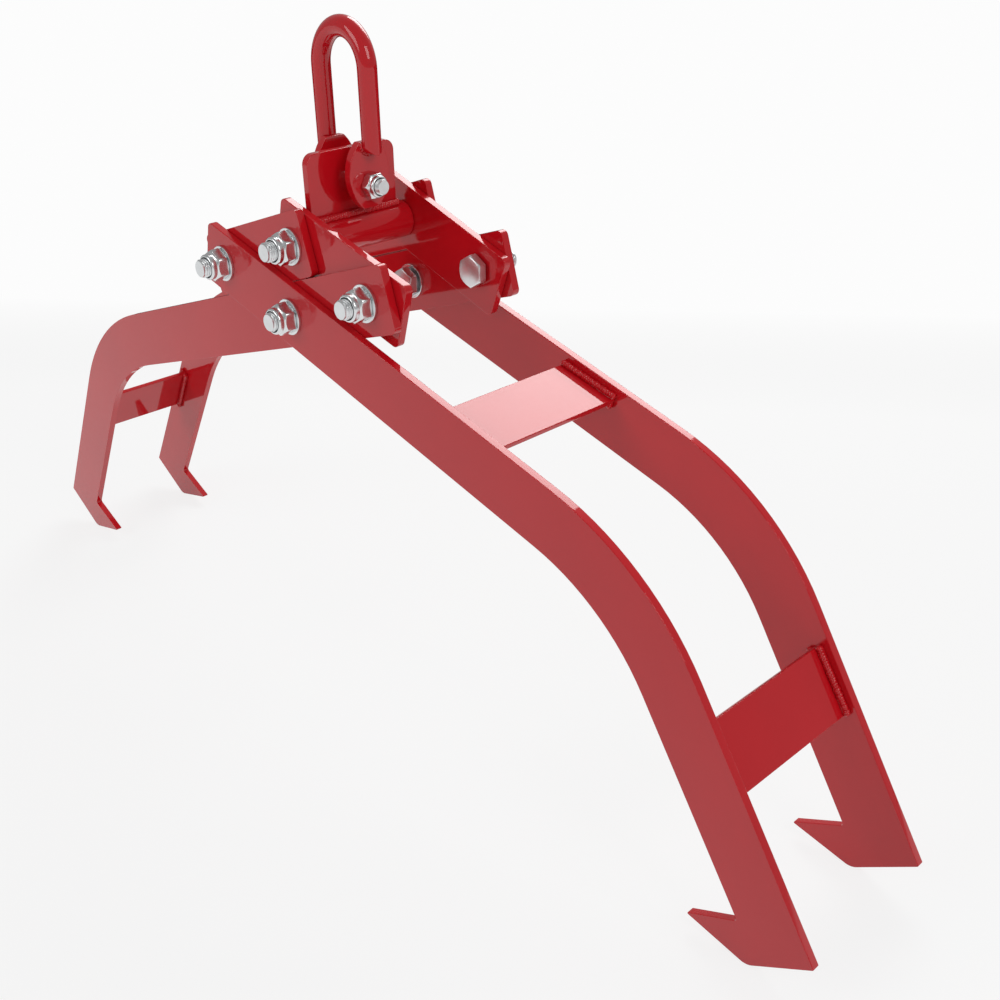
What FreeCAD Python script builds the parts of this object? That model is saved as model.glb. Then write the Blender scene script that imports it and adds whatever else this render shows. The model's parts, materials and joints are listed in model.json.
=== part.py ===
"""Log grapple: two jaws of flat bar on a scissor linkage, under a swinging hanger and a lifting bail.

Millimetres, +Z up, +X along the length. The origin is on the ground under the centre pivot. The grapple stands
with its jaws fully open, and each side of the linkage is the mirror image of the other in the plane Y = 0.
"""

import FreeCAD, Part

import math
import os

from FreeCAD import Vector as V

os.makedirs("parts", exist_ok=True)

# --- Flat bar ---
BAR_WIDTH = 60.0
BAR_THICKNESS = 8.0
BAR_CORNER = 6.0  # rounded corners of the sheared ends
JAW_SPACING = 155.0  # between the inner faces of the outer pair of arms
LAYER_GAP = 0.3  # paint and play between plates that slide on each other

# --- Linkage, seen along Y: A and D are the arms' upper ends, C their crossing and B the hanger axis ---
PIVOT_SPACING = 110.0  # A-C, C-D, A-B and B-D
OPEN_TILT = 16.8  # degrees that each shank drops from the horizontal when fully open

# --- Link plates. Each is drilled off centre: its middle sits this far from its holes' middle, along it and upward,
# and its edges are skewed from the line of its holes by some degrees. ---
SHORT_LINK_LENGTH = 168.0
SHORT_LINK_SHIFTS = {"near": -6.0, "far": 6.0}
LONG_LINK_LENGTH = 180.0
LONG_LINK_SHIFTS = {"near": 5.0, "far": -5.0}
LONG_LINK_RISES = {"near": 3.0, "far": -0.6}
LONG_LINK_SKEWS = {"near": 0.0, "far": -3.4}

# --- Arm outline, along its centre line from pivot C ---
ARM_ENDS = {"right": 30.0, "left": 33.0}  # beyond the upper pivot
SHANK_LENGTH = 343.0  # from C to the start of the bend
BEND_RADIUS = 250.0
BEND_ANGLE = 40.0
HEEL_OUTER = 246.5  # down the leg to the outer corner of the foot
HEEL_INNER = 249.5  # down the leg to the corner that the grapple stands on
HEEL_REACH = 41.0  # that corner's distance inward from the leg's centre line
HEEL_ROUND = 14.0
HEEL_OUTER_ROUND = 1.5
TINE_TIP = 202.0  # down the leg to the point of the tine
TINE_REACH = 86.5  # inward from the centre line to the point
TINE_ROUND = 1.2
NOTCH = 206.5  # down the leg to where the tine's top edge meets the inner edge
NOTCH_ROUND = 3.0

# --- Crossbars between the two arms of a jaw ---
CROSSBAR_WIDTH = 65.0
CROSSBAR_THICKNESS = 5.0
CROSSBAR_INSET = 11.0  # from the arm's outer edge to the crossbar's outer face
UPPER_CROSSBAR_START = 206.0  # from C along the shank
LOWER_CROSSBAR_START = 34.0  # from the end of the bend down the leg
BEAD = 4.5  # leg of a fillet weld

# --- Pivot fasteners ---
PIVOT_BOLT = 18.0
PIVOT_PLAY = 0.1  # radial, in the plates and the hanger tube
PIVOT_FLATS = 27.0
PIVOT_HEAD = 11.5
PIVOT_NUT = 18.5
PIVOT_WASHER = 34.0
PIVOT_WASHER_THICKNESS = 3.0
SHORT_BOLT_LENGTH = 45.0
HANGER_BOLT_LENGTH = 185.0
THREAD_PLAY = 0.05

# --- Hanger: a tube on the pivot at B with an upright lug plate on it ---
TUBE_DIAMETER = 34.0
TUBE_END_PLAY = 0.4
LUG_WIDTH = 103.0
LUG_MIDDLE = -1.5  # the plate's middle along the tube
LUG_THICKNESS = 8.0
LUG_HEIGHT = 76.0  # above B
LUG_CORNER = 10.0
LUG_EYE_HEIGHT = 45.0  # above B

# --- Bail: a bent round bar welded to two leaf-shaped ears, on a bolt through the lug ---
BAIL_BAR = 18.0
BAIL_LEG_SPACING = 66.0
BAIL_RISE = 130.0  # from its bolt to the centre line of the crown
EAR_THICKNESS = 8.0
EAR_GAP = 40.0  # between the ears' inner faces
EAR_HALF_WIDTH = 23.5
EAR_SIDE_RADIUS = 37.0
EAR_MIDDLE = 9.5  # height of its widest place above the bolt
EAR_TOP = 38.0
EAR_BOTTOM = 20.0
EAR_CORNER = 4.0
BAIL_LAP = 11.0  # length of bar that overlaps the ear's outer face
BAIL_BOLT = 14.0
BAIL_PLAY = 0.1  # radial, in the ears and the lug
BAIL_FLATS = 21.0
BAIL_HEAD = 8.8
BAIL_NUT = 14.0
BAIL_BOLT_LENGTH = 75.0

COINCIDENT = 1e-6  # points this close are one
HALF_BAR = BAR_WIDTH / 2
TILT = math.radians(OPEN_TILT)
BEND = math.radians(BEND_ANGLE)
AXIS_Y = V(0, 1, 0)
SIDES = {"near": -1, "far": 1}

# Inner face of each layer of plates, outermost first: outer arms, inner arms with short links, long links.
OUTER_LAYER = JAW_SPACING / 2
MIDDLE_LAYER = OUTER_LAYER - LAYER_GAP - BAR_THICKNESS
INNER_LAYER = MIDDLE_LAYER - LAYER_GAP - BAR_THICKNESS


# --- Outlines ---


def leg_point(along, outward):
    """A point of the leg in the arm's own plane: along it from the end of the bend, and out from its centre line."""
    x = SHANK_LENGTH + BEND_RADIUS * math.sin(BEND) + along * math.cos(BEND) + outward * math.sin(BEND)
    z = BEND_RADIUS * (math.cos(BEND) - 1) - along * math.sin(BEND) + outward * math.cos(BEND)
    return V(x, 0, z)


def rounded(corners, radii):
    """Closed wire through the corners, each rounded by a tangent arc of its own radius."""
    edges = []
    starts, ends, middles = [], [], []
    count = len(corners)
    for i, radius in enumerate(radii):
        here = corners[i]
        back = (corners[i - 1] - here).normalize()
        on = (corners[(i + 1) % count] - here).normalize()
        half = back.getAngle(on) / 2
        cut = radius / math.tan(half)
        towards = (back + on).normalize()
        starts.append(here + back * cut)
        ends.append(here + on * cut)
        middles.append(here + towards * (radius / math.sin(half) - radius))
    for i, radius in enumerate(radii):
        if radius > 0:
            edges.append(Part.Arc(starts[i], middles[i], ends[i]).toShape())
        following = starts[(i + 1) % count]
        if not following.isEqual(ends[i], COINCIDENT):
            edges.append(Part.LineSegment(ends[i], following).toShape())
    return Part.Wire(edges)


def arm_blank(end):
    """Arm outline, flat in the XZ plane with C at the origin and the shank along +X, for a length past its pivot."""
    top = -PIVOT_SPACING - end
    corner = BAR_CORNER
    shank = rounded(
        [V(top, 0, HALF_BAR), V(SHANK_LENGTH, 0, HALF_BAR), V(SHANK_LENGTH, 0, -HALF_BAR), V(top, 0, -HALF_BAR)],
        [corner, 0, 0, corner],
    )
    centre = V(SHANK_LENGTH, 0, -BEND_RADIUS)

    def swing(radius, share):
        angle = BEND * share
        return centre + V(radius * math.sin(angle), 0, radius * math.cos(angle))

    outer, inner = BEND_RADIUS + HALF_BAR, BEND_RADIUS - HALF_BAR
    bend = Part.Wire([
        Part.Arc(swing(outer, 0), swing(outer, 0.5), swing(outer, 1)).toShape(),
        Part.LineSegment(swing(outer, 1), swing(inner, 1)).toShape(),
        Part.Arc(swing(inner, 1), swing(inner, 0.5), swing(inner, 0)).toShape(),
        Part.LineSegment(swing(inner, 0), swing(outer, 0)).toShape(),
    ])
    foot = rounded(
        [
            leg_point(0, HALF_BAR),
            leg_point(HEEL_OUTER, HALF_BAR),
            leg_point(HEEL_INNER, -HEEL_REACH),
            leg_point(TINE_TIP, -TINE_REACH),
            leg_point(NOTCH, -HALF_BAR),
            leg_point(0, -HALF_BAR),
        ],
        [0, HEEL_OUTER_ROUND, HEEL_ROUND, TINE_ROUND, NOTCH_ROUND, 0],
    )
    faces = [Part.Face(wire) for wire in (shank, bend, foot)]
    return faces[0].fuse(faces[1:]).removeSplitter()


def plate(face, inner_face, side):
    """A flat-bar plate: the outline made solid on its layer, on one side of the grapple."""
    solid = face.extrude(V(0, BAR_THICKNESS, 0))
    start = inner_face if side > 0 else -inner_face - BAR_THICKNESS
    solid.translate(V(0, start, 0))
    return solid


def drilled(solid, places):
    """Cuts the pivot holes, along Y, at these places in the XZ plane."""
    radius = PIVOT_BOLT / 2 + PIVOT_PLAY
    reach = 2 * JAW_SPACING
    for place in places:
        solid = solid.cut(Part.makeCylinder(radius, reach, V(place.x, -JAW_SPACING, place.z), AXIS_Y))
    return solid


# --- Standing height and pivots ---


def lowest(face):
    """Lowest point of the arm outline once the shank has its open tilt."""
    tilted = face.copy()
    tilted.rotate(V(0, 0, 0), AXIS_Y, OPEN_TILT)
    return tilted.optimalBoundingBox().ZMin


ARM_FACES = {jaw: arm_blank(end) for jaw, end in ARM_ENDS.items()}
C = V(0, 0, -lowest(ARM_FACES["right"]))
ALONG = V(math.cos(TILT), 0, -math.sin(TILT)) * PIVOT_SPACING
A = C - ALONG
D = C + V(ALONG.x, 0, -ALONG.z)
B = A + (D - C)
EYE = B + V(0, 0, LUG_EYE_HEIGHT)


def open_right(shape):
    """Turns a shape from the arm's own plane to the right jaw, fully open."""
    placed = shape.copy()
    placed.rotate(V(0, 0, 0), AXIS_Y, OPEN_TILT)
    placed.translate(C)
    return placed


def open_left(shape):
    """The same for the left jaw, which is the right one mirrored in X."""
    return open_right(shape).mirror(V(0, 0, 0), V(1, 0, 0))


def whole(shape):
    """The only solid of a shape, or all of them as one compound."""
    return shape.Solids[0] if len(shape.Solids) == 1 else Part.makeCompound(shape.Solids)


# --- Jaws ---


def arms(jaw, place, inner_face, pivots):
    """The two arms of a jaw."""
    made = {}
    for name, side in SIDES.items():
        solid = place(plate(ARM_FACES[jaw], inner_face, side))
        made[name] = drilled(solid, pivots)
    return made


def crossbar(inner_face, corner, direction):
    """A crossbar whose section starts at corner, runs along direction and is as thick as its own value inward."""
    across = V(direction.z, 0, -direction.x)
    points = [
        corner,
        corner + direction * CROSSBAR_WIDTH,
        corner + direction * CROSSBAR_WIDTH + across * CROSSBAR_THICKNESS,
        corner + across * CROSSBAR_THICKNESS,
    ]
    face = Part.Face(Part.makePolygon(points + points[:1]))
    bar = face.extrude(V(0, 2 * inner_face, 0))
    bar.translate(V(0, -inner_face, 0))
    beads = []
    for side in SIDES.values():
        for start in (points[0], points[3]):
            rod = Part.makeCylinder(BEAD, CROSSBAR_WIDTH, start + V(0, side * inner_face, 0), direction)
            inside = Part.makeBox(4 * HEEL_OUTER, 2 * inner_face, 4 * HEEL_OUTER)
            inside.translate(V(-HEEL_OUTER, -inner_face, -3 * HEEL_OUTER))
            beads.append(rod.common(inside).cut(bar))
    return bar, beads


def crossbars(place, inner_face):
    """Upper and lower crossbar of a jaw, and the fillet welds at their ends."""
    outward = HALF_BAR - CROSSBAR_INSET
    leg = (leg_point(1, 0) - leg_point(0, 0)).normalize()
    upper, upper_beads = crossbar(inner_face, V(UPPER_CROSSBAR_START, 0, outward), V(1, 0, 0))
    lower, lower_beads = crossbar(inner_face, leg_point(LOWER_CROSSBAR_START, outward), leg)
    beads = [place(whole(bead)) for bead in upper_beads + lower_beads]
    return place(upper), place(lower), Part.makeCompound(beads)


# --- Links ---


def link(start, end, length, inner_face, side, shift, rise=0.0, skew=0.0):
    """A plain link plate with round-cornered ends and a hole at start and at end."""
    half = length / 2
    outline = rounded(
        [V(-half, 0, HALF_BAR), V(half, 0, HALF_BAR), V(half, 0, -HALF_BAR), V(-half, 0, -HALF_BAR)],
        [BAR_CORNER] * 4,
    )
    solid = plate(Part.Face(outline), inner_face, side)
    solid.translate(V(shift, 0, rise))
    run = end - start
    solid.rotate(V(0, 0, 0), AXIS_Y, -math.degrees(math.atan2(run.z, run.x)) - skew)
    solid.translate((start + end) * 0.5)
    return drilled(solid, [start, end])


# --- Fasteners, made along +Z from the bearing face and then turned into place ---


def hexagon(flats, height):
    """A hexagon prism standing on Z = 0 whose flats face along +-X."""
    radius = flats / math.sqrt(3)
    ring = [V(radius * math.cos(a), radius * math.sin(a), 0) for a in (math.radians(30 + 60 * k) for k in range(7))]
    return Part.Face(Part.makePolygon(ring)).extrude(V(0, 0, height))


def turned(profile):
    """A solid of revolution about Z from its half profile of (radius, height) points."""
    points = [V(r, 0, z) for r, z in profile]
    return Part.Face(Part.makePolygon(points + points[:1])).revolve(V(0, 0, 0), V(0, 0, 1), 360)


def hex_bolt(diameter, length, flats, head):
    """Head below Z = 0, shank up to the length with a chamfered tip."""
    radius, edge, round_edge = diameter / 2, flats / 2, flats / math.sqrt(3)
    chamfer = (round_edge - edge) * math.tan(math.radians(30))
    blank = turned([(0, -head), (edge, -head), (round_edge, -head + chamfer), (round_edge, 0), (0, 0)])
    cap = hexagon(flats, head)
    cap.translate(V(0, 0, -head))
    tip = 0.1 * diameter
    shank = turned([(0, 0), (radius, 0), (radius, length - tip), (radius - tip, length), (0, length)])
    return cap.common(blank).fuse(shank).removeSplitter()


def lock_nut(diameter, flats, height):
    """A nut with a rolled collar on top that holds its locking ring."""
    bore, edge, round_edge = diameter / 2 + THREAD_PLAY, flats / 2, flats / math.sqrt(3)
    chamfer = (round_edge - edge) * math.tan(math.radians(30))
    shoulder, collar, roll = 0.72 * height, 0.46 * flats, 0.09 * height
    body = hexagon(flats, shoulder).common(turned([
        (bore, 0), (edge, 0), (round_edge, chamfer), (round_edge, shoulder - chamfer), (edge, shoulder), (bore, shoulder),
    ]))
    ring = turned([
        (bore, shoulder), (collar, shoulder), (collar, height - roll), (collar - roll, height), (bore, height),
    ])
    return body.fuse(ring).removeSplitter()


def washer(diameter, outside, thickness):
    """A flat washer on Z = 0."""
    hole = diameter / 2 + THREAD_PLAY
    return turned([(hole, 0), (outside / 2, 0), (outside / 2, thickness), (hole, thickness)])


def aim(shape, place, direction):
    """Turns a fastener from +Z to the direction and moves its bearing face to the place."""
    placed = shape.copy()
    placed.Placement = FreeCAD.Placement(place, FreeCAD.Rotation(V(0, 0, 1), direction))
    return placed


def pivot_set(name, pivot, grip_inner, grip_outer, side, head_washer):
    """Bolt from the inside out, with a washer and a lock nut outside, at one end of a pivot."""
    outward = V(0, side, 0)
    thick = PIVOT_WASHER_THICKNESS
    head_face = grip_inner - (thick if head_washer else 0)
    made = {
        f"pivot_{name}_bolt": (hex_bolt(PIVOT_BOLT, SHORT_BOLT_LENGTH, PIVOT_FLATS, PIVOT_HEAD), head_face),
        f"pivot_{name}_washer": (washer(PIVOT_BOLT, PIVOT_WASHER, thick), grip_outer),
        f"pivot_{name}_nut": (lock_nut(PIVOT_BOLT, PIVOT_FLATS, PIVOT_NUT), grip_outer + thick),
    }
    if head_washer:
        made[f"pivot_{name}_head_washer"] = (washer(PIVOT_BOLT, PIVOT_WASHER, thick), head_face)
    return {node: aim(shape, pivot + outward * place, outward) for node, (shape, place) in made.items()}


# --- Hanger ---


def hanger():
    """Tube, lug plate and the two long welds between them."""
    half_tube = INNER_LAYER - TUBE_END_PLAY
    start = B - V(0, half_tube, 0)
    outside = Part.makeCylinder(TUBE_DIAMETER / 2, 2 * half_tube, start, AXIS_Y)
    bore = Part.makeCylinder(PIVOT_BOLT / 2 + PIVOT_PLAY, 2 * half_tube, start, AXIS_Y)
    tube = outside.cut(bore)
    low, high = LUG_MIDDLE - LUG_WIDTH / 2, LUG_MIDDLE + LUG_WIDTH / 2
    outline = rounded([V(0, low, 0), V(0, high, 0), V(0, high, LUG_HEIGHT), V(0, low, LUG_HEIGHT)],
                      [0, 0, LUG_CORNER, LUG_CORNER])
    lug = Part.Face(outline).extrude(V(LUG_THICKNESS, 0, 0))
    lug.translate(B - V(LUG_THICKNESS / 2, 0, 0))
    eye = Part.makeCylinder(BAIL_BOLT / 2 + BAIL_PLAY, 2 * LUG_THICKNESS, EYE - V(LUG_THICKNESS, 0, 0), V(1, 0, 0))
    lug = lug.cut(outside).cut(eye)
    seat = math.sqrt((TUBE_DIAMETER / 2) ** 2 - (LUG_THICKNESS / 2) ** 2)
    beads = []
    for side in (-1, 1):
        root = B + V(side * LUG_THICKNESS / 2, low, seat)
        rod = Part.makeCylinder(BEAD, LUG_WIDTH, root, AXIS_Y)
        beads.append(whole(rod.cut(outside).cut(lug)))
    return tube, whole(lug), Part.makeCompound(beads)


# --- Bail ---


def ear(side):
    """A leaf-shaped plate: two arcs for its sides, cut flat at its top and bottom."""
    offset = EAR_SIDE_RADIUS - EAR_HALF_WIDTH
    middle = EYE + V(0, 0, EAR_MIDDLE)
    inner = side * EAR_GAP / 2
    start = min(inner, inner + side * EAR_THICKNESS)

    def disc(shift):
        place = V(start, shift, middle.z)
        return Part.makeCylinder(EAR_SIDE_RADIUS, EAR_THICKNESS, place, V(1, 0, 0))

    height = EAR_TOP + EAR_BOTTOM
    band = Part.makeBox(EAR_THICKNESS, 4 * EAR_HALF_WIDTH, height)
    band.translate(V(start, -2 * EAR_HALF_WIDTH, EYE.z - EAR_BOTTOM))
    leaf = disc(-offset).common(disc(offset)).common(band)
    corners = [
        edge for edge in leaf.Edges
        if len(edge.Vertexes) == 2 and abs(abs(edge.tangentAt(edge.FirstParameter).x) - 1) < 1e-6
        and edge.CenterOfMass.z < EYE.z
    ]
    leaf = leaf.makeFillet(EAR_CORNER, corners)
    reach = 2 * EAR_GAP
    return leaf.cut(Part.makeCylinder(BAIL_BOLT / 2 + BAIL_PLAY, reach, V(-EAR_GAP, 0, EYE.z), V(1, 0, 0)))


def bail():
    """Bow, ears and the weld round each end of the bow."""
    radius, turn = BAIL_BAR / 2, BAIL_LEG_SPACING / 2
    crown = EYE.z + BAIL_RISE - turn
    foot = EYE.z + EAR_TOP - BAIL_LAP
    top = V(0, 0, crown)
    ring = Part.makeTorus(turn, radius, top, AXIS_Y, 0, 360, 360)
    upper = Part.makeBox(4 * turn, 4 * radius, 2 * turn)
    upper.translate(V(-2 * turn, -2 * radius, crown))
    bow = ring.common(upper)
    ears, beads = {}, []
    for name, side in (("left", -1), ("right", 1)):
        ears[name] = ear(side)
        leg = Part.makeCylinder(radius, crown - foot, V(side * turn, 0, foot), V(0, 0, 1))
        inside = side * turn - radius if side > 0 else side * turn - 2 * radius
        end_round = Part.makeCylinder(radius, 3 * radius, V(inside, 0, foot + radius), V(1, 0, 0))
        above = Part.makeBox(3 * radius, 2 * radius, crown - foot)
        above.translate(V(inside, -radius, foot + radius))
        leg = leg.common(end_round.fuse(above))
        face = side * (EAR_GAP / 2 + EAR_THICKNESS)
        notch = Part.makeBox(2 * radius, 4 * radius, BAIL_LAP)
        notch.translate(V(face - 2 * radius if side > 0 else face, -2 * radius, foot))
        leg = leg.cut(notch)
        bow = bow.fuse(leg)
        arc = Part.Arc(V(face, -radius, foot + radius), V(face, 0, foot), V(face, radius, foot + radius)).toShape()
        rise = V(0, 0, EYE.z + EAR_TOP - foot - radius)
        left = Part.LineSegment(V(face, -radius, foot + radius) + rise, V(face, -radius, foot + radius)).toShape()
        right = Part.LineSegment(V(face, radius, foot + radius), V(face, radius, foot + radius) + rise).toShape()
        path = Part.Wire([left, arc, right])
        start = path.Vertexes[0].Point
        section = Part.Wire(Part.makeCircle(BEAD * 0.7, start, V(0, 0, -1)))
        beads.append((path.makePipeShell([section], True, True), side))
    bow = bow.removeSplitter()
    welds = [whole(bead.cut(bow).cut(ears["left" if side < 0 else "right"])) for bead, side in beads]
    return bow, ears, Part.makeCompound(welds)


# --- Assembly ---

nodes = {}

for jaw, place, layer, pivots in (
    ("right", open_right, OUTER_LAYER, [A, C]),
    ("left", open_left, MIDDLE_LAYER, [D, C]),
):
    for name, solid in arms(jaw, place, layer, pivots).items():
        nodes[f"{jaw}_arm_{name}"] = solid
    upper, lower, beads = crossbars(place, layer)
    nodes[f"{jaw}_upper_crossbar"] = upper
    nodes[f"{jaw}_lower_crossbar"] = lower
    nodes[f"{jaw}_crossbar_welds"] = beads

outer_face = OUTER_LAYER + BAR_THICKNESS
middle_face = MIDDLE_LAYER + BAR_THICKNESS
for name, side in SIDES.items():
    nodes[f"short_link_{name}"] = link(A, B, SHORT_LINK_LENGTH, MIDDLE_LAYER, side, SHORT_LINK_SHIFTS[name])
    nodes[f"long_link_{name}"] = link(
        B, D, LONG_LINK_LENGTH, INNER_LAYER, side, LONG_LINK_SHIFTS[name], LONG_LINK_RISES[name], LONG_LINK_SKEWS[name])
    nodes.update(pivot_set(f"a_{name}", A, MIDDLE_LAYER, outer_face, side, False))
    nodes.update(pivot_set(f"c_{name}", C, MIDDLE_LAYER, outer_face, side, True))
    nodes.update(pivot_set(f"d_{name}", D, INNER_LAYER, middle_face, side, False))

towards = V(0, -1, 0)
nodes["hanger_bolt"] = aim(
    hex_bolt(PIVOT_BOLT, HANGER_BOLT_LENGTH, PIVOT_FLATS, PIVOT_HEAD), B - towards * middle_face, towards)
nodes["hanger_washer"] = aim(
    washer(PIVOT_BOLT, PIVOT_WASHER, PIVOT_WASHER_THICKNESS), B + towards * middle_face, towards)
nodes["hanger_nut"] = aim(
    lock_nut(PIVOT_BOLT, PIVOT_FLATS, PIVOT_NUT), B + towards * (middle_face + PIVOT_WASHER_THICKNESS), towards)

nodes["hanger_tube"], nodes["lug_plate"], nodes["lug_welds"] = hanger()
bow, ears, bail_welds = bail()
nodes["bail_bow"] = bow
nodes["bail_ear_left"] = ears["left"]
nodes["bail_ear_right"] = ears["right"]
nodes["bail_welds"] = bail_welds

ear_face = EAR_GAP / 2 + EAR_THICKNESS
across = V(1, 0, 0)
nodes["bail_bolt"] = aim(hex_bolt(BAIL_BOLT, BAIL_BOLT_LENGTH, BAIL_FLATS, BAIL_HEAD), EYE - across * ear_face, across)
nodes["bail_nut"] = aim(lock_nut(BAIL_BOLT, BAIL_FLATS, BAIL_NUT), EYE + across * ear_face, across)

for node, shape in nodes.items():
    shape = whole(shape)
    if not shape.isValid() or shape.Volume <= 0:
        raise ValueError(f"{node} is not a valid solid")
    shape.exportStep(f"parts/{node}.step")
    print(f"{node}: {len(shape.Solids)} solid, {shape.Volume / 1000:.1f} cm3")
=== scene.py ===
"""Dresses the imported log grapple: enamelled plates, threaded zinc fasteners, rippled welds and a studio."""

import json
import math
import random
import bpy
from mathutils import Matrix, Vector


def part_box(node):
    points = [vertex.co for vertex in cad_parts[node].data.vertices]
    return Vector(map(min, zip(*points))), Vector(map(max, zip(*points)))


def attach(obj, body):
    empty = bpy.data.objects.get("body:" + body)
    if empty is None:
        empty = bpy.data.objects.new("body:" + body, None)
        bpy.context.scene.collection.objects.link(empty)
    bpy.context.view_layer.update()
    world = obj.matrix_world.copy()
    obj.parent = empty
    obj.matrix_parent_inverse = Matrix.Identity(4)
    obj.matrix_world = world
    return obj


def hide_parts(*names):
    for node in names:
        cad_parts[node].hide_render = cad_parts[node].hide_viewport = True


bl_info = {
    "name": "Log Grapple",
    "version": (1, 0, 0),
    "blender": (4, 5, 0),
    "location": "View3D > Sidebar > Grapple",
    "description": "Builds the visible pieces of a scissor log grapple around its CAD frame",
    "category": "Add Mesh",
}

import bmesh
import bpy
from mathutils import Matrix, Vector

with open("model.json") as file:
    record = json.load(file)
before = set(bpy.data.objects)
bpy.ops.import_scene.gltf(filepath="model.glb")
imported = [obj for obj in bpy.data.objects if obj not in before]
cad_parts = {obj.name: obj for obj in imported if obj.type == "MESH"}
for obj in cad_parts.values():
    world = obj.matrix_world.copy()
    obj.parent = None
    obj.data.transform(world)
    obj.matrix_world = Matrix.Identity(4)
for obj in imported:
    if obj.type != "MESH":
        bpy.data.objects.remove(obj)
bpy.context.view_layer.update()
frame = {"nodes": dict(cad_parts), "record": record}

MM = 0.001
TURN = 2 * math.pi
SMOOTH_BELOW = math.radians(35)  # Faces that meet at a smaller angle are shaded as one.
BODY_OF = {
    node: body
    for body, members in frame["record"]["behaviour"]["bodies"].items()
    for node in members
}


# --- Settings ---


class FinishSettings(bpy.types.PropertyGroup):
    """Colours and surface finish."""

    enamel: bpy.props.FloatVectorProperty(
        name="Enamel", description="Colour of the gloss paint", subtype="COLOR", size=3, min=0, max=1,
        default=(0.60, 0.005, 0.012))
    zinc: bpy.props.FloatVectorProperty(
        name="Zinc", description="Colour of the plated fasteners", subtype="COLOR", size=3, min=0, max=1,
        default=(0.80, 0.82, 0.83))
    nylon: bpy.props.FloatVectorProperty(
        name="Nylon", description="Colour of the lock nuts' rings", subtype="COLOR", size=3, min=0, max=1,
        default=(0.012, 0.014, 0.016))
    edge_round: bpy.props.FloatProperty(
        name="Edge rounding", description="Radius that paint leaves on the plates' edges", unit="LENGTH",
        default=0.7 * MM)


class FastenerSettings(bpy.types.PropertyGroup):
    """Sizes of the bolts and nuts that the frame's boxes don't give."""

    pivot_diameter: bpy.props.FloatProperty(
        name="Pivot bolt", description="Thread diameter of the pivot bolts", unit="LENGTH", default=18 * MM)
    pivot_pitch: bpy.props.FloatProperty(
        name="Pivot pitch", description="Thread pitch of the pivot bolts", unit="LENGTH", default=2.5 * MM)
    bail_diameter: bpy.props.FloatProperty(
        name="Bail bolt", description="Thread diameter of the bail's bolt", unit="LENGTH", default=14 * MM)
    bail_pitch: bpy.props.FloatProperty(
        name="Bail pitch", description="Thread pitch of the bail's bolt", unit="LENGTH", default=2.0 * MM)


class WeldSettings(bpy.types.PropertyGroup):
    """Weld beads."""

    ripple: bpy.props.FloatProperty(
        name="Ripple", description="Distance between the ripples of a bead", unit="LENGTH", default=2.6 * MM)
    width: bpy.props.FloatProperty(
        name="Width", description="Width of a bead", unit="LENGTH", default=6.4 * MM)


class StageSettings(bpy.types.PropertyGroup):
    """Camera, lamps and floor."""

    camera_place: bpy.props.FloatVectorProperty(
        name="Camera", description="Position of the camera", subtype="TRANSLATION", unit="LENGTH", size=3,
        default=(0.8917, -0.6973, 0.7665))
    camera_turn: bpy.props.FloatProperty(
        name="Turn", description="Heading of the camera to the left of +Y", subtype="ANGLE",
        default=math.radians(49.31))
    camera_drop: bpy.props.FloatProperty(
        name="Drop", description="How far the camera looks down", subtype="ANGLE",
        default=math.radians(32.77))
    camera_roll: bpy.props.FloatProperty(
        name="Roll", description="Roll of the camera", subtype="ANGLE", default=math.radians(-2.66))
    lens: bpy.props.FloatProperty(
        name="Lens", description="Focal length on a 36 mm sensor, in millimetres", default=41.09)
    shift: bpy.props.FloatVectorProperty(
        name="Shift", description="Lens shift, as a share of the picture", size=2, default=(0.0715, 0.1264))


def settings(context):
    """The settings of the finish, the fasteners and the welds."""
    return context.scene.grapple_finish, context.scene.grapple_fasteners, context.scene.grapple_welds


# --- Materials ---


class Wire:
    """An output of a shader node. Arithmetic on it adds Math nodes to its tree."""

    def __init__(self, tree, socket):
        self.tree = tree
        self.socket = socket

    @classmethod
    def node(cls, tree, kind, setup=None, inputs=None, output=0):
        """Adds any node: its settings first, then the values or links of its sockets."""
        made = tree.nodes.new("ShaderNode" + kind)
        for name, value in (setup or {}).items():
            setattr(made, name, value)
        for key, value in (inputs or {}).items():
            if isinstance(value, cls):
                tree.links.new(value.socket, made.inputs[key])
            else:
                made.inputs[key].default_value = value
        return cls(tree, made.outputs[output])

    def math(self, operation, first, second):
        return Wire.node(self.tree, "Math", {"operation": operation}, {0: first, 1: second})

    def __add__(self, other):
        return self.math("ADD", self, other)

    __radd__ = __add__

    def __rsub__(self, other):
        return self.math("SUBTRACT", other, self)

    def __mul__(self, other):
        return self.math("MULTIPLY", self, other)

    __rmul__ = __mul__

    def maximum(self, other):
        return self.math("MAXIMUM", self, other)


def empty_tree(owner):
    """The node tree of a material or world, with nothing in it."""
    owner.use_nodes = True
    owner.node_tree.nodes.clear()
    return owner.node_tree


def set_surface(tree, wire, kind="Material"):
    """Sends a shader to the output of its tree."""
    out = tree.nodes.new("ShaderNodeOutput" + kind)
    tree.links.new(wire.socket, out.inputs["Surface"])


def new_material(name, constants):
    """A material with a Principled shader, and the constants set on its own sockets."""
    material = bpy.data.materials.new(name)
    tree = empty_tree(material)
    shader = Wire.node(tree, "BsdfPrincipled", None, constants)
    set_surface(tree, shader)
    return material, tree, shader.socket.node


def link(tree, wire, shader, socket):
    tree.links.new(wire.socket, shader.inputs[socket])


def noise(tree, scale, detail):
    """Noise between 0 and 1 on the piece's own coordinates."""
    place = Wire.node(tree, "TexCoord", output="Object")
    return Wire.node(tree, "TexNoise", None, {"Vector": place, "Scale": scale, "Detail": detail})


def tint(tree, factor, low, high):
    """A colour between two others."""
    colours = {0: factor, 6: (*low, 1), 7: (*high, 1)}
    return Wire.node(tree, "Mix", {"data_type": "RGBA"}, colours, output=2)


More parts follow.
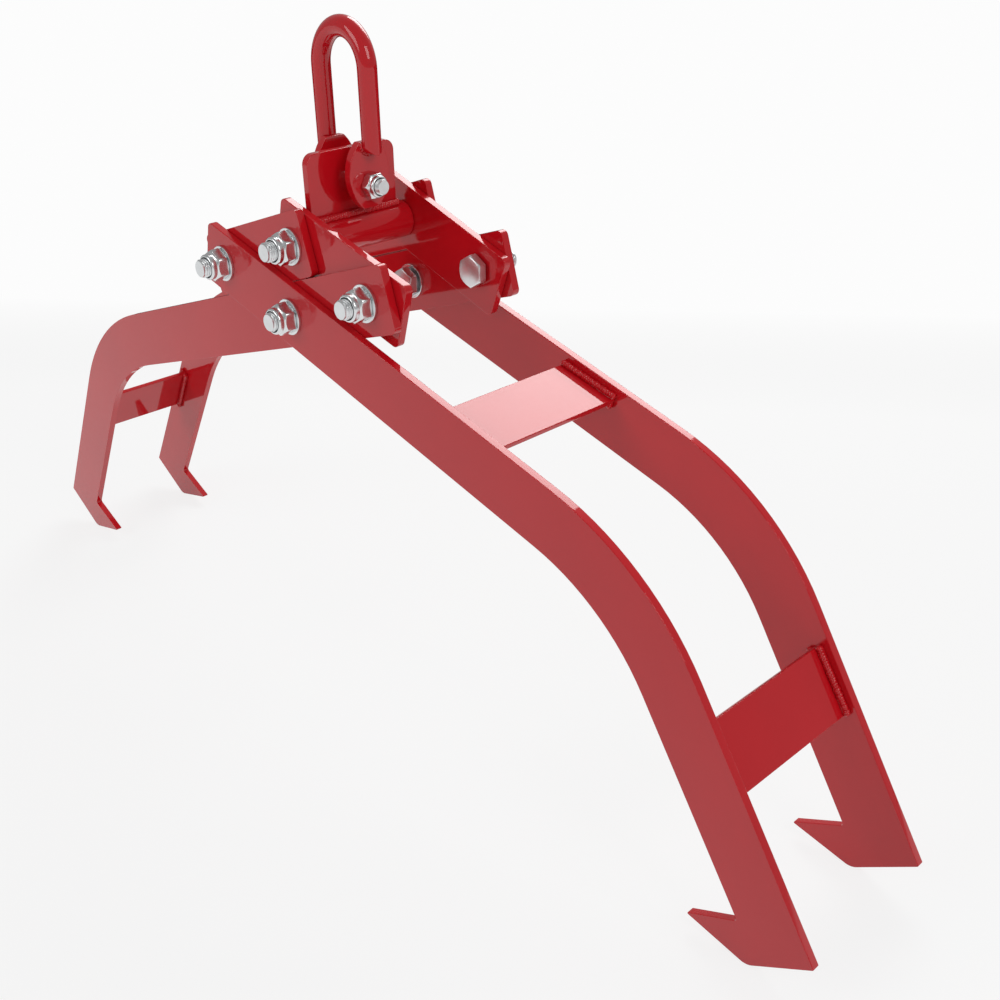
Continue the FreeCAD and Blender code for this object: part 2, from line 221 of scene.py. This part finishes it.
def shade(colour, amount):
    """A colour made darker or lighter."""
    return tuple(min(1, amount * channel) for channel in colour)


def bump(tree, shader, strength, distance, height):
    """Raises the surface by a height, in the shader alone."""
    made = Wire.node(tree, "Bump", None, {"Strength": strength, "Distance": distance, "Height": height})
    link(tree, made, shader, "Normal")


def enamel_material(name, colour, peel):
    """Gloss paint: a clear coat over a softer colour, with the faint waves of sprayed paint."""
    material, tree, shader = new_material(name, {
        "Coat Weight": 1.0, "Coat Roughness": 0.05, "Coat IOR": 1.5, "Specular IOR Level": 0.05})
    cloud = noise(tree, 9, 3)
    link(tree, tint(tree, cloud, shade(colour, 0.86), shade(colour, 1.08)), shader, "Base Color")
    link(tree, 0.40 + 0.12 * noise(tree, 160, 3), shader, "Roughness")
    bump(tree, shader, peel, 0.05 * MM, noise(tree, 230, 2) * 0.7 + noise(tree, 60, 2))
    return material


def zinc_material(name, colour, rough):
    """Bright zinc plate, faintly blotched."""
    material, tree, shader = new_material(name, {"Metallic": 1.0})
    link(tree, tint(tree, noise(tree, 120, 3), shade(colour, 0.86), colour), shader, "Base Color")
    link(tree, rough + 0.12 * noise(tree, 300, 3), shader, "Roughness")
    bump(tree, shader, 0.3, 0.03 * MM, noise(tree, 600, 2))
    return material


def nylon_material(name, colour):
    """Dark nylon of a lock nut's ring."""
    material, tree, shader = new_material(name, {"Specular IOR Level": 0.4})
    link(tree, tint(tree, noise(tree, 700, 2), colour, shade(colour, 1.6)), shader, "Base Color")
    link(tree, 0.35 + 0.2 * noise(tree, 500, 2), shader, "Roughness")
    return material


# --- Mesh helpers ---


def finish_piece(bm, name, body, material, nodes=()):
    """Makes the object of a bmesh, parents it to the empty of the body it rides on, and hides the CAD nodes
    that it stands for.
    """
    mesh = bpy.data.meshes.new(name)
    bm.to_mesh(mesh)
    bm.free()
    for polygon in mesh.polygons:
        polygon.use_smooth = True
    mesh.set_sharp_from_angle(angle=SMOOTH_BELOW)
    mesh.materials.append(material)
    piece = bpy.data.objects.new(name, mesh)
    bpy.context.scene.collection.objects.link(piece)
    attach(piece, body)
    if nodes:
        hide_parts(*nodes)
    return piece


def merged_copy(node):
    """A bmesh of a CAD node with its triangles joined up and its flat faces made whole."""
    bm = bmesh.new()
    bm.from_mesh(frame["nodes"][node].data)
    bmesh.ops.remove_doubles(bm, verts=bm.verts, dist=0.002 * MM)
    bmesh.ops.dissolve_limit(bm, angle_limit=math.radians(0.4), verts=bm.verts, edges=bm.edges)
    return bm


def round_edges(bm, radius):
    """Rounds the edges between faces that meet at a clear angle."""
    sharp = [edge for edge in bm.edges if edge.is_manifold and edge.calc_face_angle() > SMOOTH_BELOW]
    bmesh.ops.bevel(
        bm, geom=sharp, offset=radius, offset_type="OFFSET", segments=2, profile=0.5,
        affect="EDGES", material=-1, clamp_overlap=True)


def painted_copy(node, radius, material):
    """An enamelled plate or bar: the CAD shape with its edges rounded by paint."""
    bm = merged_copy(node)
    round_edges(bm, radius)
    piece = finish_piece(bm, "painted_" + node, BODY_OF[node], material, [node])
    flat = piece.modifiers.new("Flat faces", "WEIGHTED_NORMAL")
    flat.keep_sharp = True
    return piece


def turned(bm, profile, steps):
    """Spins a half profile of (radius, height) points about Z."""
    verts = [bm.verts.new((radius, 0, height)) for radius, height in profile]
    edges = [bm.edges.new(pair) for pair in zip(verts, verts[1:])]
    bmesh.ops.spin(
        bm, geom=verts + edges, cent=(0, 0, 0), axis=(0, 0, 1), angle=TURN, steps=steps, use_merge=True)
    bmesh.ops.remove_doubles(bm, verts=bm.verts, dist=0.001 * MM)
    bmesh.ops.recalc_face_normals(bm, faces=bm.faces)


def between(low, high, count):
    """Heights from low to high, both ends included."""
    return [low + (high - low) * k / count for k in range(count + 1)]


def mill_flats(verts, flats, turn=0.0):
    """Presses the vertices that stand outside a hexagon of this width across flats back onto it."""
    for vert in verts:
        angle = math.atan2(vert.co.y, vert.co.x) - turn
        off_flat = (angle + TURN / 12) % (TURN / 6) - TURN / 12
        limit = flats / 2 / math.cos(off_flat)
        radius = math.hypot(vert.co.x, vert.co.y)
        if radius > limit:
            vert.co.x *= limit / radius
            vert.co.y *= limit / radius


def cut_thread(verts, diameter, pitch, tip):
    """Cuts a helical groove into the vertices of a rod, up to its tip."""
    depth = THREAD_DEPTH * pitch
    for vert in verts:
        radius = math.hypot(vert.co.x, vert.co.y)
        if radius < diameter / 2 - 0.05 * MM or vert.co.z >= tip:
            continue
        wave = (vert.co.z / pitch - math.atan2(vert.co.y, vert.co.x) / TURN) % 1
        groove = depth * (1 - abs(2 * wave - 1)) ** GROOVE_SHARPNESS
        scale = (diameter / 2 - groove) / radius
        vert.co.x *= scale
        vert.co.y *= scale


def aim(bm, place, direction):
    """Turns a fastener made along +Z to a direction and moves its bearing face to the place."""
    turn = Vector((0, 0, 1)).rotation_difference(direction).to_matrix().to_4x4()
    bm.transform(Matrix.Translation(place) @ turn)


# --- Welds ---

END_DEPTH = 0.5 * MM  # Vertices this near a bead's end belong to the end.
SCALE_SIZES = (0.9, 1.12)  # Smallest and largest ripple, as shares of a bead's radius.
SCALE_LEAN = 0.25  # Largest lean of a ripple to either side, in radians.
SCALE_THICKNESS = 0.72  # Thickness of a ripple along the bead, as a share of its size.
WELD_SEED = 4


def shells(bm):
    """The vertices of each separate shell, in the mesh's own order."""
    left = dict.fromkeys(bm.verts)
    while left:
        shell = [next(iter(left))]
        del left[shell[0]]
        for vert in shell:  # The list grows while it is walked.
            for edge in vert.link_edges:
                other = edge.other_vert(vert)
                if other in left:
                    del left[other]
                    shell.append(other)
        yield shell


def mean(places):
    return sum(places, Vector()) / len(places)


def bead_lines(node):
    """The two end points of the centre line of each separate bead of a weld node."""
    bm = merged_copy(node)
    lines = []
    for shell in shells(bm):
        places = [vert.co.copy() for vert in shell]
        first = max(places, key=lambda place: (place - places[0]).length)
        last = max(places, key=lambda place: (place - first).length)
        heading = (last - first).normalized()
        reach = [place.dot(heading) for place in places]
        low, high = min(reach) + END_DEPTH, max(reach) - END_DEPTH
        starts = [place for place, at in zip(places, reach) if at < low]
        ends = [place for place, at in zip(places, reach) if at > high]
        lines.append((mean(starts), mean(ends)))
    bm.free()
    return lines


def straight_run(start, end, step):
    """Places and directions of the ripples of a straight bead."""
    count = max(2, round((end - start).length / step))
    heading = (end - start).normalized()
    return [(start.lerp(end, (k + 0.5) / count), heading) for k in range(count)]


def ear_run(side, step):
    """The same for the bead round the flat of a bail leg on its ear: down, round the foot and up."""
    low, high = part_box("bail_ear_right" if side > 0 else "bail_ear_left")
    face = high.x if side > 0 else low.x
    bow_low, bow_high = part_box("bail_bow")
    radius = (bow_high.y - bow_low.y) / 2
    centre = Vector((face, 0, bow_low.z + radius))
    rise = high.z - centre.z - step
    ups = max(1, round(rise / step))
    turns = round(math.pi * radius / step)
    up, down = Vector((0, 0, 1)), Vector((0, 0, -1))
    run = [(centre + Vector((0, -radius, rise * (1 - k / ups))), down) for k in range(ups)]
    for k in range(turns + 1):
        angle = math.pi * (1 + k / turns)
        spoke = Vector((0, math.cos(angle), math.sin(angle)))
        run.append((centre + radius * spoke, Vector((0, -spoke.z, spoke.y))))
    run += [(centre + Vector((0, radius, rise * (k + 1) / ups)), up) for k in range(ups)]
    return run


def add_bead(bm, run, radius, chance):
    """Overlapping flattened scales along a run, each slightly different."""
    for place, heading in run:
        size = radius * chance.uniform(*SCALE_SIZES)
        lean_x = Matrix.Rotation(chance.uniform(-SCALE_LEAN, SCALE_LEAN), 4, "X")
        lean_y = Matrix.Rotation(chance.uniform(-SCALE_LEAN, SCALE_LEAN), 4, "Y")
        turn = Vector((0, 0, 1)).rotation_difference(heading).to_matrix().to_4x4()
        shape = Matrix.Diagonal((size, size, SCALE_THICKNESS * size, 1))
        bmesh.ops.create_uvsphere(
            bm, u_segments=12, v_segments=8, radius=1,
            matrix=Matrix.Translation(place) @ turn @ lean_x @ lean_y @ shape)


def finish_beads(bm, node, material):
    """Makes the piece that stands for a weld node."""
    finish_piece(bm, "dressed_" + node, BODY_OF[node], material, [node])


# --- Fasteners ---

HEX_STEPS = 72
ROD_STEPS = 48
WASHER_STEPS = 64
HEAD_HEIGHT = 8.8 * MM
HEAD_FACE = 0.94  # Round face of a bolt's head, as a share of its width across flats.
NUT_FACE = 0.95  # The same for a nut.
CHAMFER_ANGLE = math.radians(30)
THREAD_SHARE = 0.6  # Threaded share of a shank.
THREAD_DEPTH = 0.6  # Depth of a thread and of the chamfer at its tip, as shares of the pitch.
GROOVE_SHARPNESS = 1.2
STEPS_PER_PITCH = 6
COLLAR_START = 0.70  # Where a nut's collar starts, as a share of its height.
COLLAR_RADIUS = 0.455  # As a share of the width across flats.
MOUTH_SHARE = 0.55  # How far the collar's mouth lies from the bore to the collar's outside.
ROLL_SHARE = 0.11  # Radius of the collar's rolled edge, as a share of the nut's height.


def across_corners(flats):
    return flats / math.cos(TURN / 12)


def slope(start, end, steps):
    """Points from one (radius, height) to another, both included."""
    return list(zip(between(start[0], end[0], steps), between(start[1], end[1], steps)))


def bolt_mesh(bm, diameter, pitch, length, flats):
    """Hex bolt along +Z: head below zero, threaded over its last stretch."""
    corner = across_corners(flats) / 2
    face = HEAD_FACE * flats / 2
    drop = (corner - face) * math.tan(CHAMFER_ANGLE)
    edge = 0.2 * MM
    cone = slope((face, -HEAD_HEIGHT), (corner, drop - HEAD_HEIGHT), 6)
    turned(bm, [(0, -HEAD_HEIGHT), *cone, (corner, -edge), (corner - edge, 0), (diameter / 2, 0)], HEX_STEPS)
    mill_flats(bm.verts, flats)
    chamfer = THREAD_DEPTH * pitch
    start = length - THREAD_SHARE * length
    root = -1 * MM
    steps = max(4, round((THREAD_SHARE * length - chamfer) / pitch * STEPS_PER_PITCH))
    outline = [(0, root), (diameter / 2, root), (diameter / 2, start - pitch)]
    outline += [(diameter / 2, z) for z in between(start, length - chamfer, steps)]
    outline += [(diameter / 2 - 0.8 * chamfer, length), (0, length)]
    rod = bmesh.new()
    turned(rod, outline, ROD_STEPS)
    cut_thread([vert for vert in rod.verts if vert.co.z > start], diameter, pitch, length)
    join(bm, rod)


def join(bm, other):
    """Adds another bmesh's geometry to this one."""
    mesh = bpy.data.meshes.new("part")
    other.to_mesh(mesh)
    other.free()
    bm.from_mesh(mesh)
    bpy.data.meshes.remove(mesh)


def collar_radii(diameter, flats):
    """Outer radius of a lock nut's collar, and the radius of its mouth."""
    collar = COLLAR_RADIUS * flats
    return collar, diameter / 2 + MOUTH_SHARE * (collar - diameter / 2)


def nut_mesh(bm, diameter, flats, height):
    """Hex nut along +Z whose rolled collar holds a locking ring."""
    corner = across_corners(flats) / 2
    face = NUT_FACE * flats / 2
    drop = (corner - face) * math.tan(CHAMFER_ANGLE)
    bore = diameter / 2
    collar, mouth = collar_radii(diameter, flats)
    shoulder = COLLAR_START * height
    roll = ROLL_SHARE * height
    round_lip = [(collar - roll + roll * math.cos(angle), height - roll + roll * math.sin(angle))
                 for angle in between(0, TURN / 4, 5)]
    profile = [(bore, 0), *slope((face, 0), (corner, drop), 5)]
    profile += slope((corner, shoulder - 1.6 * drop), (collar, shoulder), 6)
    profile += [(collar, shoulder + 0.4 * MM), *round_lip, (mouth, height)]
    profile += [(mouth - 0.3 * MM, height - 0.6 * MM), (bore, height - 0.8 * MM), (bore, 0)]
    turned(bm, profile, HEX_STEPS)
    mill_flats([vert for vert in bm.verts if vert.co.z < shoulder - 0.01 * MM], flats)


def ring_mesh(bm, diameter, flats, height):
    """The locking ring in the mouth of a nut's collar, with a rounded top."""
    inner = diameter / 2 - 0.2 * MM
    outer = collar_radii(diameter, flats)[1] - 0.35 * MM
    low, high = height - 3 * MM, height - 0.2 * MM
    radius, half = (inner + outer) / 2, (outer - inner) / 2
    crown = [(radius + half * math.cos(angle), high + half * 0.6 * (math.sin(angle) - 1))
             for angle in between(0, TURN / 2, 8)]
    turned(bm, [(inner, low), (outer, low), *crown, (inner, low)], ROD_STEPS)


def washer_mesh(bm, diameter, outside, thickness):
    """Flat washer on Z = 0 with a stamped edge."""
    hole = diameter / 2 + 0.2 * MM
    soft = 0.35 * MM
    rim = outside / 2
    profile = [(hole, 0), (rim - soft, 0), (rim, soft), (rim, thickness - soft), (rim - soft, thickness)]
    turned(bm, profile + [(hole + soft, thickness), (hole, thickness - soft), (hole, 0)], WASHER_STEPS)


def middle(node):
    low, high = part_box(node)
    return (low + high) / 2


def facing(node):
    """The axis that a fastener lies along, and the way in which its thread's tip points."""
    if node.startswith("bail_"):
        return 0, 1
    if node.startswith("hanger_"):
        return 1, -1
    return 1, math.copysign(1, middle(node).y)


def place_fastener(bm, node, seat, material, kind="dressed"):
    """Aims a fastener with its bearing face at the seat on the node's axis, and makes its piece."""
    axis, sign = facing(node)
    direction = Vector((0, 0, 0))
    direction[axis] = sign
    place = middle(node)
    place[axis] = seat
    aim(bm, place, direction)
    replaced = [node] if kind == "dressed" else []
    return finish_piece(bm, f"{kind}_{node}", BODY_OF[node], material, replaced)


# --- Operators ---


class GRAPPLE_OT_plates(bpy.types.Operator):
    """Arms, crossbars with the cores of their welds, links, lug plate and ears, with soft edges."""

    bl_idname = "grapple.plates"
    bl_label = "Plates"

    def execute(self, context):
        finish, _, _ = settings(context)
        material = enamel_material("plate_enamel", finish.enamel, 0.35)
        kinds = ("arm", "crossbar", "link", "plate", "ear")
        for node in frame["nodes"]:
            if any(kind in node.split("_") for kind in kinds):
                painted_copy(node, finish.edge_round, material)
        return {"FINISHED"}


class GRAPPLE_OT_round_bars(bpy.types.Operator):
    """Bail bow and hanger tube: enamelled round stock."""

    bl_idname = "grapple.round_bars"
    bl_label = "Round bars"

    def execute(self, context):
        finish, _, _ = settings(context)
        material = enamel_material("bar_enamel", finish.enamel, 0.6)
        for node in ("bail_bow", "hanger_tube"):
            painted_copy(node, finish.edge_round, material)
        return {"FINISHED"}


class GRAPPLE_OT_welds(bpy.types.Operator):
    """Rippled fillet welds under the paint."""

    bl_idname = "grapple.welds"
    bl_label = "Welds"

    def execute(self, context):
        finish, _, weld = settings(context)
        material = enamel_material("weld_enamel", finish.enamel, 1.0)
        chance = random.Random(WELD_SEED)
        for node in ("right_crossbar_welds", "left_crossbar_welds", "lug_welds"):
            bm = bmesh.new()
            for start, end in bead_lines(node):
                add_bead(bm, straight_run(start, end, weld.ripple), weld.width / 2, chance)
            finish_beads(bm, node, material)
        bm = bmesh.new()
        for side in (-1, 1):
            add_bead(bm, ear_run(side, weld.ripple), weld.width / 3, chance)
        finish_beads(bm, "bail_welds", material)
        return {"FINISHED"}


class GRAPPLE_OT_fasteners(bpy.types.Operator):
    """Threaded bolts, lock nuts with nylon rings, and washers."""

    bl_idname = "grapple.fasteners"
    bl_label = "Fasteners"

    def execute(self, context):
        finish, sizes, _ = settings(context)
        zinc = zinc_material("zinc_plate", finish.zinc, 0.18)
        thread = zinc_material("zinc_thread", finish.zinc, 0.30)
        nylon = nylon_material("nylon_ring", finish.nylon)
        for node in frame["nodes"]:
            axis, sign = facing(node)
            low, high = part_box(node)
            size = high - low
            seat, tip = (low[axis], high[axis]) if sign > 0 else (high[axis], low[axis])
            reach = abs(tip - seat)
            if node.startswith("bail_"):
                diameter, pitch, flats = sizes.bail_diameter, sizes.bail_pitch, size.z
            else:
                diameter, pitch, flats = sizes.pivot_diameter, sizes.pivot_pitch, size.x
            bm = bmesh.new()
            if node.endswith("_bolt"):
                bolt_mesh(bm, diameter, pitch, reach - HEAD_HEIGHT, flats)
                place_fastener(bm, node, seat + HEAD_HEIGHT * sign, thread)
            elif node.endswith("_nut"):
                nut_mesh(bm, diameter, flats, reach)
                place_fastener(bm, node, seat, zinc)
                ring = bmesh.new()
                ring_mesh(ring, diameter, flats, reach)
                place_fastener(ring, node, seat, nylon, kind="nylon")
            elif node.endswith("washer"):
                washer_mesh(bm, diameter, size.z, reach)
                place_fastener(bm, node, seat, zinc)
            else:
                bm.free()
        return {"FINISHED"}


class GRAPPLE_OT_stage(bpy.types.Operator):
    """Floor, softboxes, world and camera."""

    bl_idname = "grapple.stage"
    bl_label = "Stage"

    def execute(self, context):
        stage = context.scene.grapple_stage
        make_floor()
        make_world(context.scene)
        for softbox in SOFTBOXES:
            add_softbox(*softbox)
        make_camera(context.scene, stage)
        return {"FINISHED"}


WHITE = (0.975, 0.975, 0.975, 1)
FLOOR_RADIUS = 40
FLOOR_DROP = 0.2 * MM
TABLE_TURN = math.radians(53)
TABLE_EDGE = (-1.35, -0.8)  # Where the table fades out, in metres from the object.
TABLE_GREY = 0.80
STUDIO_GREY = 0.04
SHADOW_SHARE = 0.16  # Share of the table's brightness that comes from the light on it.
SKY_STRENGTH = 0.35
SOFTBOXES = (  # Name, place, target, size and radiance.
    ("back_box", (-0.9, 2.0, 2.2), (0.1, 0, 0.3), (1.7, 1.5), 5.5),
    ("right_box", (2.3, -0.2, 1.9), (0.1, 0, 0.3), (1.2, 1.2), 4.0),
    ("front_box", (-0.7, -2.1, 1.6), (0.0, 0, 0.4), (1.3, 1.0), 3.0),
)


def make_floor():
    """A white floor that holds the object's shadow."""
    bm = bmesh.new()
    bmesh.ops.create_circle(bm, cap_ends=True, segments=96, radius=FLOOR_RADIUS)
    mesh = bpy.data.meshes.new("floor")
    bm.to_mesh(mesh)
    bm.free()
    floor = bpy.data.objects.new("floor", mesh)
    bpy.context.scene.collection.objects.link(floor)
    floor.location.z = -FLOOR_DROP
    material = bpy.data.materials.new("floor_white")
    tree = empty_tree(material)
    table = table_mask(tree)
    camera, glossy, through = (
        Wire.node(tree, "LightPath", output=kind)
        for kind in ("Is Camera Ray", "Is Glossy Ray", "Is Transmission Ray"))
    seen = camera.maximum(table * glossy).maximum(through)
    grey = tint(tree, table, (STUDIO_GREY,) * 3, (TABLE_GREY,) * 3)
    diffuse = Wire.node(tree, "BsdfDiffuse", None, {"Color": grey})
    glow = Wire.node(tree, "Emission", None, {"Color": WHITE, "Strength": 1.0})
    share = seen * (1 - SHADOW_SHARE * table)
    set_surface(tree, Wire.node(tree, "MixShader", None, {0: share, 1: diffuse, 2: glow}))
    mesh.materials.append(material)


def table_mask(tree):
    """One on the white table under the object, and zero past its front edge, where the studio is dark."""
    place = Wire.node(tree, "TexCoord", output="Object")
    turn = {"Vector": place, "Rotation": (0, 0, TABLE_TURN)}
    depth = Wire.node(tree, "SeparateXYZ", None, {"Vector": Wire.node(tree, "Mapping", None, turn)})
    dark, bright = TABLE_EDGE
    return Wire.node(tree, "MapRange", None, {
        "Value": depth, "From Min": dark, "From Max": bright, "To Min": 0.0, "To Max": 1.0})


def make_world(scene):
    """Soft light from everywhere, and white where the camera sees past the floor."""
    world = bpy.data.worlds.new("studio")
    scene.world = world
    tree = empty_tree(world)
    camera = Wire.node(tree, "LightPath", output="Is Camera Ray")
    soft = Wire.node(tree, "Background", None, {"Color": (1, 1, 1, 1), "Strength": SKY_STRENGTH})
    white = Wire.node(tree, "Background", None, {"Color": WHITE, "Strength": 1.0})
    set_surface(tree, Wire.node(tree, "MixShader", None, {0: camera, 1: soft, 2: white}), "World")


def add_softbox(name, place, target, size, radiance):
    """A rectangular softbox that faces the target. Its power follows from its size and radiance."""
    lamp = bpy.data.lights.new(name, "AREA")
    lamp.shape = "RECTANGLE"
    lamp.size, lamp.size_y = size
    lamp.energy = radiance * size[0] * size[1] * math.pi
    box = bpy.data.objects.new(name, lamp)
    bpy.context.scene.collection.objects.link(box)
    box.location = place
    box.rotation_euler = (Vector(target) - Vector(place)).to_track_quat("-Z", "Y").to_euler()


def make_camera(scene, stage):
    """The camera, turned, then dropped, then rolled."""
    data = bpy.data.cameras.new("camera")
    data.sensor_width = 36
    data.lens = stage.lens
    data.shift_x, data.shift_y = stage.shift
    camera = bpy.data.objects.new("camera", data)
    scene.collection.objects.link(camera)
    turn = Matrix.Rotation(stage.camera_turn, 4, "Z")
    tilt = Matrix.Rotation(math.pi / 2 - stage.camera_drop, 4, "X")
    roll = Matrix.Rotation(stage.camera_roll, 4, "Z")
    camera.matrix_world = Matrix.Translation(stage.camera_place) @ turn @ tilt @ roll
    scene.camera = camera
    scene.view_settings.view_transform = "Standard"


class GRAPPLE_PT_panel(bpy.types.Panel):
    """Lists the steps that build the grapple."""

    bl_idname = "GRAPPLE_PT_panel"
    bl_label = "Log Grapple"
    bl_space_type = "VIEW_3D"
    bl_region_type = "UI"
    bl_category = "Grapple"

    def draw(self, context):
        for operator in OPERATORS:
            self.layout.operator(operator.bl_idname)


GROUPS = {
    "grapple_finish": FinishSettings,
    "grapple_fasteners": FastenerSettings,
    "grapple_welds": WeldSettings,
    "grapple_stage": StageSettings,
}
OPERATORS = (
    GRAPPLE_OT_plates,
    GRAPPLE_OT_round_bars,
    GRAPPLE_OT_welds,
    GRAPPLE_OT_fasteners,
    GRAPPLE_OT_stage,
)


def register():
    for group in (*GROUPS.values(), *OPERATORS, GRAPPLE_PT_panel):
        bpy.utils.register_class(group)
    for name, group in GROUPS.items():
        setattr(bpy.types.Scene, name, bpy.props.PointerProperty(type=group))


def unregister():
    for name in GROUPS:
        delattr(bpy.types.Scene, name)
    for group in reversed((*GROUPS.values(), *OPERATORS, GRAPPLE_PT_panel)):
        bpy.utils.unregister_class(group)


def main():
    register()
    bpy.ops.grapple.plates()
    bpy.ops.grapple.round_bars()
    bpy.ops.grapple.welds()
    bpy.ops.grapple.fasteners()
    bpy.ops.grapple.stage()


if __name__ == "__main__":
    main()
